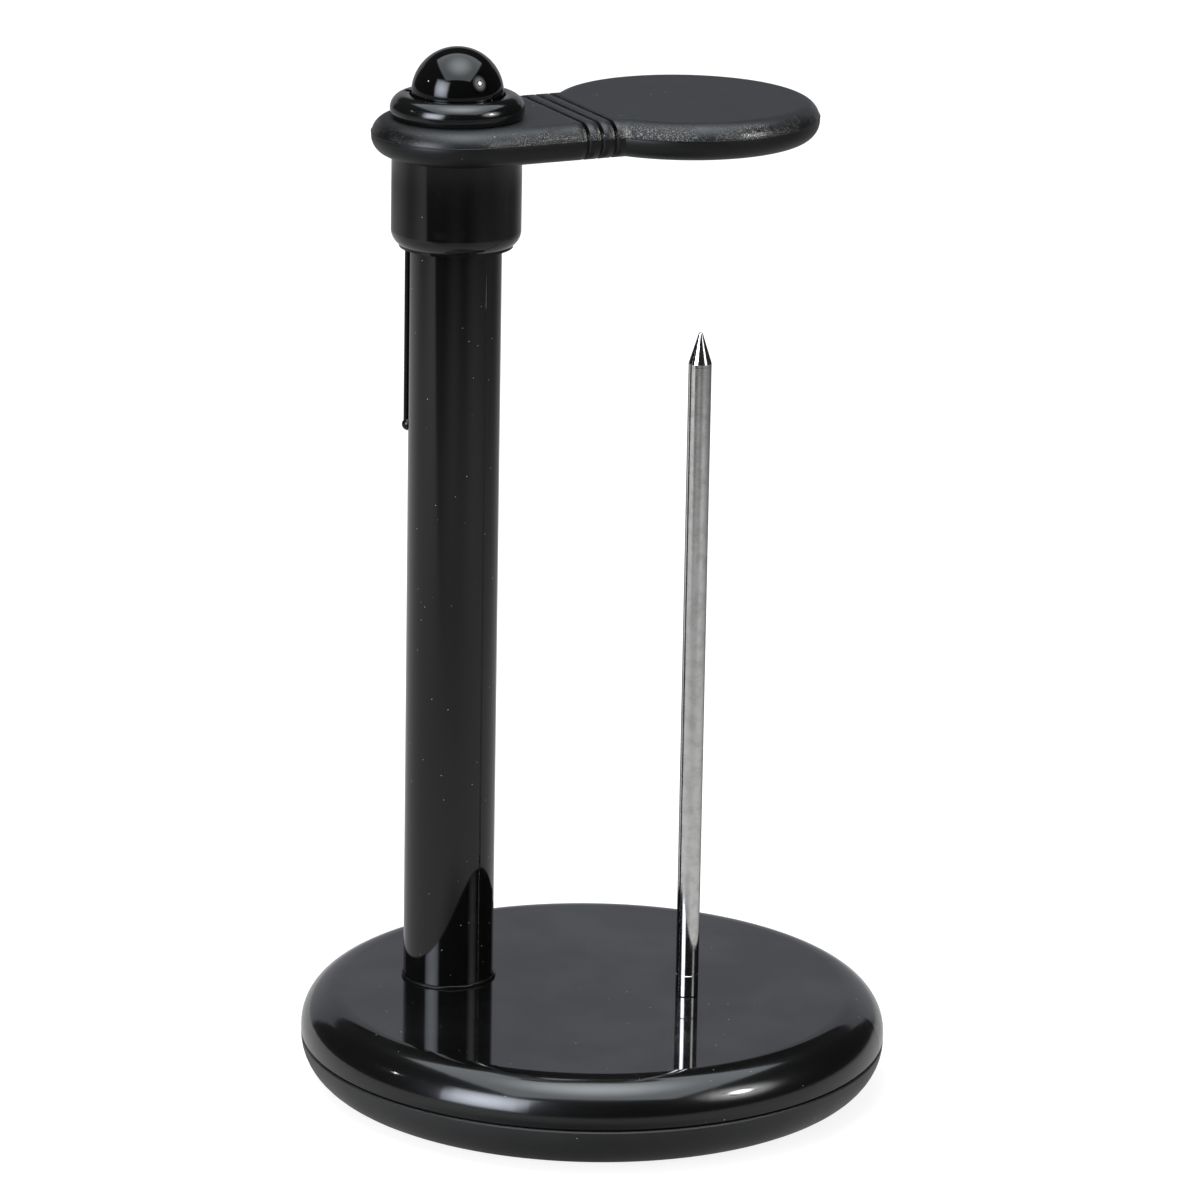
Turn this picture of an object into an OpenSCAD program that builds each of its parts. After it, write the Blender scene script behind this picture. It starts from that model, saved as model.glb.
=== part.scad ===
// Receipt spike: a weighted round base carries a steel spike and a post.
// A head slides down the post, guided by a thin wire, and its arm swivels on the head.
// The arm's round palm pad presses slips onto the spike. Millimetres, +Z up.
// Origin: centre of the face the base stands on. +X runs from the post to the spike.

/* [Base] */
// Widest diameter of the base
base_d = 129.4; // [120:0.2:150]
// Height of the flat top of the base above the table
base_h = 20; // [18:0.5:26]
// Height of the seam between cover and tray
seam_h = 9.9; // [8:0.1:10.4]
// Diameter of the bottom edge of the tray
foot_d = 115.8; // [110:0.2:118]
// Radius of the rounded shoulder of the cover
shoulder_r = 8.6; // [6:0.1:9]
// Wall of the cover and the tray
shell_t = 2.4; // [2:0.1:2.8]
// Thickness of the floor of the tray
floor_t = 2.6; // [2.2:0.1:2.8]
// Width of the seam
seam_gap = 0.3; // [0.2:0.05:0.5]
// Width of the broken edges along the seam
seam_edge = 0.3; // [0.1:0.05:0.5]
// Height of the lip of the tray that locates the cover
lip_h = 3; // [2:0.2:4]
// Wall of that lip
lip_t = 1.6; // [1.2:0.1:2]

/* [Non-slip pad] */
// Diameter of the non-slip pad
pad_d = 104; // [96:1:110]
// Thickness of the non-slip pad
pad_t = 1.6; // [1.4:0.1:1.8]
// How far the pad stands below the tray
pad_proud = 0.4; // [0.3:0.1:0.6]

/* [Ballast] */
// Diameter of the ballast plate
ballast_d = 104; // [100:1:106]
// Thickness of the ballast plate
ballast_t = 6; // [4:0.2:6.2]

/* [Base screws] */
// Number of base screws
base_screw_n = 4; // [3:1:6]
// Diameter of the circle of base screws
base_screw_pcd = 90; // [86:1:92]
// Thread diameter of a base screw
base_screw_d = 3; // [2.5:0.1:3.2]
// Head diameter of a base screw
base_screw_head_d = 5.6; // [5:0.1:6]
// Head height of a base screw
base_screw_head_h = 1.8; // [1.4:0.1:2]
// Depth that a base screw bites into the cover
base_screw_bite = 7; // [5:0.5:8]

/* [Post] */
// Outer diameter of the post
post_d = 20; // [19:0.1:20.4]
// Wall of the post
post_wall = 2; // [1.6:0.1:2.4]
// Distance of the post behind the centre of the base
post_back = 33; // [30:0.5:36]
// Height of the top end of the post
post_top = 220; // [212:0.5:230]
// Depth of the post in its socket
socket_depth = 8.5; // [7.5:0.1:9]
// Width of the ring at the foot of the post
foot_ring_w = 0.6; // [0.4:0.1:0.7]
// Height of the ring at the foot of the post
foot_ring_h = 0.9; // [0.8:0.1:1.5]
// Diameter of the dome on the post
dome_d = 20; // [18:0.1:20]
// Length of the spigot of the dome
dome_spigot = 9; // [6:0.5:12]
// Length of the plug in the foot of the post
plug_l = 15; // [13:0.5:20]
// Thread diameter of the screw that holds the post
post_screw_d = 4; // [3.5:0.1:4.5]
// Head diameter of the screw that holds the post
post_screw_head_d = 7; // [6:0.1:8]
// Head height of the screw that holds the post
post_screw_head_h = 2.6; // [2:0.1:3]
// Length of the thread of that screw
post_screw_l = 14; // [12:0.5:16]

/* [Guide wire] */
// Diameter of the guide wire
wire_d = 1.2; // [1:0.1:1.3]
// Distance that the wire stands off the post
wire_off = 0.1; // [0.05:0.05:0.2]
// Height of the top end of the wire above the underside of the arm
wire_over = 5; // [3:0.5:8]
// Diameter of the stop bead across the post
bead_d = 2.8; // [2.4:0.1:3.2]
// How far the stop bead stands off the post
bead_h = 1.6; // [1.5:0.1:1.8]
// Diameter of the peg behind the bead
bead_peg_d = 1.2; // [1:0.1:1.4]

/* [Spike] */
// Diameter of the spike
spike_d = 5; // [4.6:0.1:5.2]
// Width of the broken edge at the foot of the spike
spike_edge = 0.2; // [0.1:0.05:0.25]
// Distance of the spike ahead of the centre of the base
spike_ahead = 21.2; // [18:0.2:26]
// Height of the tip of the spike
spike_top = 170.7; // [160:0.1:171]
// Length of the ground point
point_l = 6.8; // [5:0.2:10]
// Radius of the tip of the point
tip_r = 0.5; // [0.2:0.05:0.7]
// Height of the turned line above the base
line_h = 5; // [3:0.5:10]
// Depth of the turned line
line_depth = 0.15; // [0.1:0.05:0.3]
// Depth of the boss that the stud goes through
spike_boss_l = 9.5; // [9:0.1:10]
// Diameter of the stud below the foot of the spike
stud_d = 4; // [3.5:0.1:4]
// Width across flats of the nut
nut_af = 7; // [6.5:0.1:8]
// Height of the nut
nut_h = 3.2; // [2.6:0.1:3.2]

/* [Head] */
// Height of the underside of the collar, head up
head_z = 186.5; // [183:0.5:190]
// Way that the head slides down
travel = 39; // [36:0.5:42]
// Outer diameter of the collar
collar_d = 28.2; // [27.7:0.1:29]
// Height of the collar below the arm
collar_h = 20.1; // [18:0.1:24]
// Radius of the lower edge of the collar
collar_r = 3.6; // [2:0.1:3.7]
// Diameter of the neck that carries the arm
neck_d = 24.8; // [24.6:0.1:25]
// Height of the neck above the arm
neck_over = 3.4; // [2.6:0.1:3.8]
// Diameter of the retaining ring
ring_d = 29.1; // [28.8:0.1:29.6]
// Height of the retaining ring
ring_h = 5; // [4.8:0.1:5.6]
// Radius of the rounded section of the ring
ring_r = 3.2; // [3.2:0.1:4]
// Gap between the ring and the post
ring_gap = 0.4; // [0.3:0.1:0.5]
// Height of the friction ring
friction_h = 3; // [2:0.2:4]
// Height of the friction ring above the underside of the collar
friction_up = 6; // [5:0.5:9]
// Open angle of the split friction ring
friction_split = 40; // [30:1:60]
// Thickness of the swivel washer
washer_t = 0.5; // [0.4:0.05:0.7]

/* [Arm] */
// Thickness of the arm
arm_t = 8.2; // [7.4:0.1:9]
// Width of the arm from the post to the palm pad
arm_w = 38.2; // [35:0.2:40]
// How far the middle of the rounded end lies ahead of the post
arm_lead = 0.6; // [0:0.1:1]
// Diameter of the palm pad
palm_d = 59.8; // [52:0.2:64]
// Distance of the middle of the palm pad from the post
palm_reach = 54.1; // [50:0.1:58]
// Angle by which the arm is swung aside from the spike
arm_aside = 37; // [36:1:180]
// Number of grooves across the neck of the arm
groove_n = 3; // [1:1:3]
// Distance of the first groove from the post
groove_first = 22.4; // [21:0.1:24]
// Pitch of the grooves
groove_pitch = 3.3; // [2.6:0.1:3.6]
// Width of a groove
groove_w = 1; // [0.8:0.1:1.8]
// Depth of a groove
groove_depth = 1.2; // [0.4:0.1:1.2]
// Diameter of the socket that takes the point
tip_socket_d = 7; // [6:0.2:9]
// Depth of the socket that takes the point
tip_socket_depth = 5; // [4.4:0.1:5.4]

/* [Clearances] */
// Gap between pieces that are fixed to each other
fit_gap = 0.05; // [0.02:0.01:0.1]
// Gap between the head and the post
slide_gap = 0.15; // [0.1:0.05:0.25]
// Gap between the friction ring and the post
grip_gap = 0.03; // [0.02:0.01:0.05]
// Gap between the arm and the head
swivel_gap = 0.1; // [0.05:0.05:0.15]
// Gap between the guide wire and its keyway
key_gap = 0.35; // [0.3:0.05:0.4]
// Gap between the collar and the bead at the end of the way
stop_gap = 0.2; // [0.1:0.05:0.4]

/* [Hidden] */
$fn = 96;

// Base levels and radii
base_r = base_d / 2;
tray_z = pad_proud;
floor_z = tray_z + floor_t;
cover_z = seam_h + seam_gap / 2;
rim_z = seam_h - seam_gap / 2;
ceiling_z = base_h - shell_t;
lip_r = base_r - shell_t - fit_gap;
band_h = rim_z - tray_z;
band_in = base_r - foot_d / 2;
band_least = 0.001;
band_r = (band_in * band_in + band_h * band_h) / (2 * max(abs(band_in), band_least));
ballast_top = floor_z + ballast_t;
boss_wall = 2.9;
boss_step = 1;
boss_r = base_screw_d / 2 + boss_wall;
screw_turn = 45;
screw_ledge_t = 1.6;
screw_seat_z = pad_t + base_screw_head_h;
screw_stand_z = screw_seat_z + screw_ledge_t;
pilot_over = 0.5;
// Overshoot of a cut that goes right through
cut = 1;

// Post levels
post_r = post_d / 2;
bore_r = post_r - post_wall;
post_z = base_h - socket_depth;
socket_floor_t = 2.2;
socket_z = post_z - socket_floor_t;
washer_h = 0.8;
washer_rim = 1.5;
well_r = 7;

// Spike levels
spike_r = spike_d / 2;
stud_r = stud_d / 2;
spike_boss_z = base_h - spike_boss_l;
stud_over = 1;

// Head levels, with the head up
arm_under = head_z + collar_h;
arm_z = arm_under + swivel_gap / 2;
ring_z = arm_under + arm_t + swivel_gap;
neck_top = ring_z + neck_over;
neck_r = neck_d / 2;
wire_r = post_r + wire_off + wire_d / 2;
wire_top = arm_under + wire_over;
key_r = wire_r + wire_d / 2 + key_gap;
key_w = wire_d + 2 * key_gap;
bead_top = head_z - travel - stop_gap;
bead_z = bead_top - bead_d / 2;
wire_z = bead_z + bead_d / 4;
friction_z = head_z + friction_up;
friction_t = 1.6;
friction_r = post_r + slide_gap + friction_t;

// Arm
edge_r = arm_t / 2;
tip_reach = post_back + spike_ahead;
groove_over = 0.1;
washer_w = 1.1;
washer_r = neck_r + washer_w;

module at_post() {
  translate([-post_back, 0, 0]) children();
}

module at_spike() {
  translate([spike_ahead, 0, 0]) children();
}

module at_screws() {
  for (i = [0 : base_screw_n - 1])
    rotate(screw_turn + i * 360 / base_screw_n) translate([base_screw_pcd / 2, 0, 0]) children();
}

// Right-hand half of the rounded cover: outer radius r, height h, shoulder s
module shoulder_profile(r, h, s) {
  square([r - s, h]);
  square([r, h - s]);
  translate([r - s, h - s]) intersection() {
    circle(s);
    square(s);
  }
}

// Corner that is taken off the outer edge at the seam, with the seam at height 0
module broken_edge() {
  polygon([
    [base_r - seam_edge - cut, -cut],
    [base_r + cut, -cut],
    [base_r + cut, seam_edge + cut]
  ]);
}

module base_cover() {
  color("#111214") difference() {
    union() {
      translate([0, 0, cover_z]) rotate_extrude() difference() {
        shoulder_profile(base_r, base_h - cover_z, shoulder_r);
        shoulder_profile(base_r - shell_t, base_h - cover_z - shell_t, shoulder_r - shell_t);
        broken_edge();
      }
      at_post() translate([0, 0, socket_z])
        cylinder(r = post_r + shell_t, h = ceiling_z - socket_z + shell_t / 2);
      at_spike() translate([0, 0, spike_boss_z])
        cylinder(r = spike_r + shell_t + boss_step, h = ceiling_z - spike_boss_z + shell_t / 2);
      at_screws() {
        translate([0, 0, ballast_top])
          cylinder(r = boss_r + boss_step, h = ceiling_z - ballast_top + shell_t / 2);
        translate([0, 0, screw_stand_z])
          cylinder(r = boss_r, h = ceiling_z - screw_stand_z + shell_t / 2);
      }
    }
    at_post() {
      translate([0, 0, post_z]) cylinder(r = post_r + fit_gap, h = base_h);
      cylinder(r = post_screw_d / 2 + fit_gap, h = base_h);
    }
    at_spike() cylinder(r = stud_r + fit_gap, h = base_h + cut);
    at_screws()
      cylinder(r = base_screw_d / 2 + fit_gap, h = screw_stand_z + base_screw_bite + pilot_over);
  }
}

// Right-hand half of the tray: its side is an arc, upright at the seam,
// which draws in to the bottom edge or, to a wider one, flares out
module tray_profile(inset) {
  if (band_in > 0) intersection() {
    square([base_r, band_h]);
    union() {
      translate([base_r - band_r, band_h]) circle(band_r - inset);
      square([base_r - band_r, band_h]);
    }
  }
  else difference() {
    square([foot_d / 2, band_h]);
    translate([base_r + band_r, band_h]) circle(band_r + inset);
  }
}

module base_tray() {
  color("#1b1c1e") difference() {
    union() {
      translate([0, 0, tray_z]) rotate_extrude() difference() {
        tray_profile(0);
        intersection() {
          tray_profile(shell_t + lip_t);
          translate([0, floor_t]) square(base_d);
        }
        translate([0, band_h]) mirror([0, 1]) broken_edge();
      }
      rotate_extrude() translate([lip_r - lip_t, rim_z - lip_t]) square([lip_t, lip_t + lip_h]);
      at_screws() translate([0, 0, tray_z]) cylinder(r = boss_r, h = screw_stand_z - tray_z);
    }
    cylinder(d = pad_d + 2 * fit_gap, h = pad_t);
    at_screws() {
      cylinder(d = base_screw_head_d + 2 * fit_gap, h = screw_seat_z);
      cylinder(r = base_screw_d / 2 + fit_gap, h = screw_stand_z + cut);
    }
  }
}

module ballast_plate() {
  color("#5b5d60") difference() {
    translate([0, 0, floor_z]) cylinder(d = ballast_d, h = ballast_t);
    at_screws() cylinder(r = boss_r + fit_gap, h = base_h);
    at_post() cylinder(r = well_r, h = base_h);
    at_spike() cylinder(r = well_r, h = base_h);
  }
}

// Screw that points up: its head hangs below z = 0
module screw(d, l, head_d, head_h) {
  cylinder(d = d, h = l);
  translate([0, 0, -head_h]) cylinder(d = head_d, h = head_h);
}

module base_screws() {
  color("#a9abae") at_screws() translate([0, 0, screw_seat_z])
    screw(base_screw_d, screw_stand_z - screw_seat_z + base_screw_bite,
          base_screw_head_d, base_screw_head_h);
}

module non_slip_pad() {
  color("#232425") cylinder(d = pad_d, h = pad_t);
}

// A round hole through the back wall of the post at height z
module back_hole(d, z) {
  translate([-post_r - cut, 0, z]) rotate([0, 90, 0]) cylinder(d = d, h = post_wall + 2 * cut);
}

module post_tube() {
  color("#131416") at_post() difference() {
    translate([0, 0, post_z]) cylinder(r = post_r, h = post_top - post_z);
    translate([0, 0, post_z - cut]) cylinder(r = bore_r, h = post_top - post_z + 2 * cut);
    back_hole(wire_d + 2 * fit_gap, wire_top);
    back_hole(bead_peg_d + 2 * fit_gap, bead_z);
  }
}

module post_foot_ring() {
  straight_h = foot_ring_h - foot_ring_w;
  color("#0e0f10") at_post() translate([0, 0, base_h]) rotate_extrude()
    translate([post_r + fit_gap, 0]) {
      square([foot_ring_w, straight_h]);
      translate([0, straight_h]) intersection() {
        circle(foot_ring_w);
        square(foot_ring_w);
      }
    }
}

module post_plug() {
  color("#2a2b2d") at_post() translate([0, 0, post_z]) difference() {
    cylinder(r = bore_r - fit_gap, h = plug_l);
    cylinder(r = post_screw_d / 2 + fit_gap, h = post_screw_l - socket_floor_t - washer_h + cut);
  }
}

module post_screw() {
  color("#a9abae") at_post() translate([0, 0, socket_z - washer_h])
    screw(post_screw_d, post_screw_l, post_screw_head_d, post_screw_head_h);
}

module post_washer() {
  color("#b4b6b8") at_post() translate([0, 0, socket_z - washer_h]) difference() {
    cylinder(r = post_screw_head_d / 2 + washer_rim, h = washer_h);
    translate([0, 0, -cut]) cylinder(r = post_screw_d / 2 + fit_gap, h = washer_h + 2 * cut);
  }
}

module dome_cap() {
  color("#0f1012") at_post() translate([0, 0, post_top]) {
    rotate_extrude() intersection() {
      circle(d = dome_d);
      square(dome_d);
    }
    translate([0, 0, -dome_spigot]) cylinder(r = bore_r - fit_gap, h = dome_spigot + cut);
  }
}

module guide_wire() {
  color("#0c0c0d") at_post() union() {
    translate([-wire_r, 0, wire_z]) cylinder(d = wire_d, h = wire_top - wire_z);
    translate([-wire_r, 0, wire_top]) sphere(d = wire_d);
    translate([-wire_r, 0, wire_top]) rotate([0, 90, 0]) cylinder(d = wire_d, h = wire_r - bore_r);
  }
}

// Domed bead on a peg, notched on top for the end of the wire
module stop_bead() {
  color("#0c0c0d") at_post() difference() {
    translate([-post_r - fit_gap, 0, bead_z]) rotate([0, -90, 0]) {
      rotate_extrude() intersection() {
        translate([0, bead_h - bead_d / 2]) circle(d = bead_d);
        square([bead_d, bead_h]);
      }
      translate([0, 0, -post_wall]) cylinder(d = bead_peg_d, h = post_wall + bead_h / 2);
    }
    translate([-post_r - bead_h - cut, -wire_d / 2 - fit_gap, wire_z - fit_gap])
      cube([bead_h + 2 * cut, wire_d + 2 * fit_gap, bead_d]);
  }
}

module spike() {
  shaft_top = spike_top - point_l;
  line_z = base_h + line_h;
  stud_end_z = spike_boss_z - washer_h - nut_h - stud_over;
  tip_z = spike_top - tip_r;
  cone_h = tip_z - shaft_top;
  tangent = acos(tip_r / norm([spike_r, cone_h])) - atan2(cone_h, spike_r);
  color("#c9cbcd") at_spike() rotate_extrude() {
    polygon([
      [0, stud_end_z],
      [stud_r, stud_end_z],
      [stud_r, base_h],
      [spike_r - spike_edge, base_h],
      [spike_r, base_h + spike_edge],
      [spike_r, line_z - line_depth],
      [spike_r - line_depth, line_z],
      [spike_r, line_z + line_depth],
      [spike_r, shaft_top],
      [tip_r * cos(tangent), tip_z + tip_r * sin(tangent)],
      [0, tip_z]
    ]);
    translate([0, tip_z]) intersection() {
      circle(tip_r);
      translate([0, -tip_r]) square(2 * tip_r);
    }
  }
}

module spike_washer() {
  color("#b4b6b8") at_spike() translate([0, 0, spike_boss_z - washer_h]) difference() {
    cylinder(r = nut_af / 2 + washer_rim, h = washer_h);
    translate([0, 0, -cut]) cylinder(r = stud_r + fit_gap, h = washer_h + 2 * cut);
  }
}

module spike_nut() {
  color("#a9abae") at_spike() translate([0, 0, spike_boss_z - washer_h - nut_h]) difference() {
    cylinder(r = nut_af / sqrt(3), h = nut_h, $fn = 6);
    translate([0, 0, -cut]) cylinder(r = stud_r + fit_gap, h = nut_h + 2 * cut);
  }
}

// Slot along the back of the head that runs over the guide wire
module keyway(z, h) {
  translate([-key_r, -key_w / 2, z]) cube([key_r - post_r / 2, key_w, h]);
}

module collar() {
  rim_r = collar_d / 2;
  bore = post_r + slide_gap;
  color("#141517") at_post() difference() {
    union() {
      translate([0, 0, head_z]) rotate_extrude() {
        translate([0, collar_r]) square([rim_r, collar_h - collar_r]);
        square([rim_r - collar_r, collar_h]);
        translate([rim_r - collar_r, collar_r]) circle(collar_r);
      }
      translate([0, 0, head_z]) cylinder(r = neck_r, h = neck_top - head_z);
    }
    translate([0, 0, head_z - cut]) cylinder(r = bore, h = neck_top - head_z + 2 * cut);
    translate([0, 0, friction_z - fit_gap])
      cylinder(r = friction_r + fit_gap, h = friction_h + 2 * fit_gap);
    keyway(head_z - cut, neck_top - head_z + 2 * cut);
  }
}

module friction_ring() {
  color("#d9d6cc") at_post() translate([0, 0, friction_z]) rotate(180 + friction_split / 2)
    rotate_extrude(angle = 360 - friction_split)
      translate([post_r + grip_gap, 0]) square([friction_r - post_r - grip_gap, friction_h]);
}

module swivel_washer() {
  color("#b4b6b8") at_post() translate([0, 0, ring_z - washer_t]) difference() {
    cylinder(r = washer_r, h = washer_t);
    translate([0, 0, -cut]) cylinder(r = neck_r + fit_gap, h = washer_t + 2 * cut);
  }
}

module retaining_ring() {
  rim_r = ring_d / 2;
  color("#0f1012") at_post() difference() {
    translate([0, 0, ring_z]) rotate_extrude() difference() {
      intersection() {
        union() {
          translate([rim_r - ring_r, ring_h - ring_r]) circle(ring_r);
          square([washer_r, ring_h - ring_r]);
        }
        square([rim_r, ring_h]);
      }
      square([neck_r + fit_gap, neck_over + fit_gap]);
      square([post_r + ring_gap, ring_h]);
    }
    keyway(ring_z, ring_h + cut);
  }
}

// Section of the arm: a flat bar with half-round edges
module bar_section(w) {
  translate([-w / 2 + edge_r, 0]) square([w - arm_t, arm_t]);
  for (side = [-1, 1]) translate([side * (w / 2 - edge_r), edge_r]) circle(edge_r);
}

// Half of such a section, to be turned about its middle
module disc_section(w) {
  intersection() {
    bar_section(w);
    square([w, arm_t]);
  }
}

// One vee groove that runs right round the bar at distance s from the post
module groove(s) {
  flat = arm_w - arm_t;
  vee = [[-groove_w / 2, groove_over], [groove_w / 2, groove_over], [0, -groove_depth]];
  translate([s, 0, edge_r]) {
    for (turn = [0, 180]) rotate([turn, 0, 0]) {
      translate([0, 0, edge_r]) rotate([90, 0, 0])
        linear_extrude(flat, center = true) polygon(vee);
      translate([0, flat / 2, 0]) rotate([0, 90, 0]) rotate_extrude(angle = 180)
        polygon([for (p = vee) [edge_r + p[1], p[0]]]);
    }
  }
}

module press_arm() {
  color("#232527") at_post() translate([0, 0, arm_z]) rotate(arm_aside) difference() {
    union() {
      translate([arm_lead, 0, 0]) {
        rotate(90) rotate_extrude(angle = 180) disc_section(arm_w);
        rotate([90, 0, 90]) linear_extrude(palm_reach - arm_lead) bar_section(arm_w);
      }
      translate([palm_reach, 0, 0]) rotate_extrude() disc_section(palm_d);
    }
    translate([0, 0, -cut]) cylinder(r = neck_r + swivel_gap, h = arm_t + 2 * cut);
    translate([0, 0, arm_t - washer_t]) cylinder(r = washer_r + swivel_gap, h = washer_t + cut);
    translate([tip_reach, 0, -cut]) cylinder(d = tip_socket_d, h = tip_socket_depth + cut);
    for (i = [0 : groove_n - 1]) groove(groove_first + i * groove_pitch);
  }
}

base_cover();
base_tray();
ballast_plate();
base_screws();
non_slip_pad();
post_tube();
post_foot_ring();
post_plug();
post_screw();
post_washer();
dome_cap();
guide_wire();
stop_bead();
spike();
spike_washer();
spike_nut();
collar();
friction_ring();
swivel_washer();
retaining_ring();
press_arm();
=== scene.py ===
"""Looks of the receipt spike: a gloss black stand, a steel spike and a grained palm arm.

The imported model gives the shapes. This script gives them their finishes, adds two fine pieces,
sets a small studio of soft boxes round them and looks at them from the photograph's place.
Lengths are in metres, or in millimetres times MM.
"""
import math

import bmesh
import bpy
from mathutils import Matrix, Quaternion, Vector


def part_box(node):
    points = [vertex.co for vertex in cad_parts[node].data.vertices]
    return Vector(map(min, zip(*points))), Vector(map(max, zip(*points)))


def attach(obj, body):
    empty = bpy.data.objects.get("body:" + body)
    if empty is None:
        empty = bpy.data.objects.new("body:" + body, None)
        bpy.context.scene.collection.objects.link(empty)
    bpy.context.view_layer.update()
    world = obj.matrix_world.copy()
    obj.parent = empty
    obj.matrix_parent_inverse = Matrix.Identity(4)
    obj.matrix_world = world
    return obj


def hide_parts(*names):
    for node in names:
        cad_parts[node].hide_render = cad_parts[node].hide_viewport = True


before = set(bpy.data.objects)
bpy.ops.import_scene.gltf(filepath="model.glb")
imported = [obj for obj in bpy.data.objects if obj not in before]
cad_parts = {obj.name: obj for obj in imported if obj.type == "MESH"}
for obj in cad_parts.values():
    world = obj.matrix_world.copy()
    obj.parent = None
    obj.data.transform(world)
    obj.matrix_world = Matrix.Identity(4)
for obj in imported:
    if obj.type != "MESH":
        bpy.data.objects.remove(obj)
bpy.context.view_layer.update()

MM = 0.001

# Camera, with its angles in degrees
CAMERA_TARGET = Vector((0.1, 0.0, 109.2)) * MM
CAMERA_DISTANCE = 1419 * MM
CAMERA_TURN = 11.4
CAMERA_RISE = 16.0
CAMERA_ROLL = 1.0
CAMERA_LENS = 195
CAMERA_SENSOR = 36

# Arm, as in the model: its way from the post, its widths, its grooves and its parting line
ARM_ASIDE = math.radians(37)
ARM_WAY = Vector((math.cos(ARM_ASIDE), math.sin(ARM_ASIDE), 0))
ARM_SIDE = Vector((-math.sin(ARM_ASIDE), math.cos(ARM_ASIDE), 0))
POST_PLACE = Vector((-33, 0, 0)) * MM
ARM_START = POST_PLACE.dot(ARM_WAY)
ARM_LEAD = 0.6 * MM
ARM_WIDE = 38.2 * MM
PAD_WIDE = 59.8 * MM
PAD_REACH = 54.1 * MM
GROOVE_FIRST = 22.4 * MM
GROOVE_PITCH = 3.3 * MM
GROOVE_COUNT = 3
GROOVE_WIDE = 1.0 * MM
PARTING_Z = 211.5 * MM
LINE_RADIUS = 0.13 * MM
LINE_STEPS = 64

# Wear of the arm and, at its end beyond the post, painted shade, by the distance along it from the
# post: where it comes in, and where it goes out
NECK_WEAR = (-6 * MM, 14 * MM), (50 * MM, 32 * MM)
SCUFF = (30.2 * MM, 31.1 * MM), (32.2 * MM, 31.7 * MM)
SCUFF_LEVEL = 0.6
NICK = (32.2 * MM, 32.4 * MM), (32.8 * MM, 32.6 * MM)
NICK_LEVEL = 0.8
PALE_BITS = (2 * MM, 12 * MM), (24 * MM, 20 * MM)
# painted shade: the arm's round end beyond the post is painted darker
END_SHADE = (-5 * MM, -14 * MM)
# The same for the painted highlight on a groove's lip and the painted shade and light in a groove, by
# the distance from the groove's middle
LIP = (-1.25 * MM, -0.8 * MM), (0.15 * MM, -0.2 * MM)
GROOVE_PAINTED_SPAN = (0.6 * MM, 0.36 * MM)
# The same by the height over the parting line
UPPER_EDGE = (-0.1 * MM, 0.1 * MM)
RUB_HEIGHT = (3.0 * MM, 1.0 * MM)
FILL_HEIGHT = (1.8 * MM, 0.4 * MM)
BITS_HEIGHT = (0.2 * MM, 0.1 * MM)
# The same by the upright part of the normal
RUB_SLOPE = (0.96, 0.75)
LIP_SLOPE = (0.85, 0.6)
NICK_SLOPE = (0.7, 0.5)
# Relief of the arm: its depth, and the shares of it that plain and rubbed grain have, that handling
# leaves of them, and that the grooves have
ARM_RELIEF = 0.3 * MM
PLAIN_GRAIN = 0.04
RUBBED_GRAIN = 0.8
HANDLED_GRAIN = 0.2
GROOVE_HOLLOW = 1.3
# Roughness of the arm's parts
TOP_ROUGHNESS = (0.43, 0.55)
UNDERSIDE_ROUGHNESS = 0.42
EDGE_ROUGHNESS = 0.34
RUBBED_ROUGHNESS = 0.23
HANDLED_ROUGHNESS = 0.14
GROOVE_ROUGHNESS = 0.15
# Most handled place on the edge of the pad
HANDLED_PLACE = Vector((30.4, 10.4, 212.9)) * MM
HANDLED_REACH = (6.5 * MM, 1.5 * MM)

# Mottled skin of the spike, by height: it comes in above the foot and ends below the ground point
SKIN_FOOT = (30 * MM, 60 * MM)
SKIN_TOP = (163.5 * MM, 163 * MM)

# Bead at the foot of the post. Its fullness and its rise are each a mean and some waves round it:
# size, count and shift
BEAD_WIDTH = 0.6 * MM
BEAD_STEPS = 240
BEAD_SIDES = 7
BEAD_BULGE = 0.8
BEAD_FULL = 0.72, [(0.16, 3, 0.6), (0.08, 11, 0.0), (0.04, 29, 1.1)]
BEAD_RISE = 0.74, [(0.14, 2, 2.0), (0.08, 9, 0.4), (0.04, 23, 0.0)]

# Studio
FLOOR_WIDE = 8.0
FLOOR_TONE = 0.45
FLOOR_SHADOW_TONE = 0.32
FLOOR_GLOW = 0.86
AMBIENT_LEVEL = 0.45
DARK_LEVEL = 0.03
STUDIO_MIDDLE = Vector((0, 0, 100)) * MM
SCRIM_PLACE = (0.05, -0.14, 1.0)
SCRIM_TINT = (0.94, 1.0, 1.05, 1)
BACKDROP_TINT = (0.965, 0.99, 1.08, 1)
BOX_TINT = (0.93, 0.985, 1.11, 1)
# Pools of light on the table, as reflections see it: middle, reach, level
TABLE_POOLS = [
    ((-0.10, 0.0, 0.0), 0.85, 0.58),
    ((-0.45, 0.55, 0.0), 0.60, 0.34),
    ((0.10, 0.75, 0.0), 0.75, 0.3),
    ((0.50, -0.10, 0.0), 0.55, 0.22),
    ((0.52, -0.35, 0.0), 0.45, 0.22),
    ((0.10, -0.62, 0.0), 0.36, 0.25),
    ((0.85, 0.25, 0.0), 0.60, 0.15),
    # a negative pool: the base's painted contact shadow on the table, as reflections see it
    ((0.01, -0.08, 0.0), 0.09, -0.42),
]
# Pools on the left part of the table, which ends in a soft line through a place, in a direction
LEFT_POOLS = [
    ((-0.57, -0.54, 0.0), 0.55, 0.62),
    ((-0.75, 0.15, 0.0), 0.62, 0.42),
]
LEFT_EDGE_PLACE = Vector((-0.117, -0.344, 0.0))
LEFT_EDGE_TURN = -123.6
LEFT_EDGE_SOFT = 0.045
# The table brightens again between these distances from the post
FAR_TABLE = (0.92, 0.97)
FAR_LEVEL = 0.3

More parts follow.
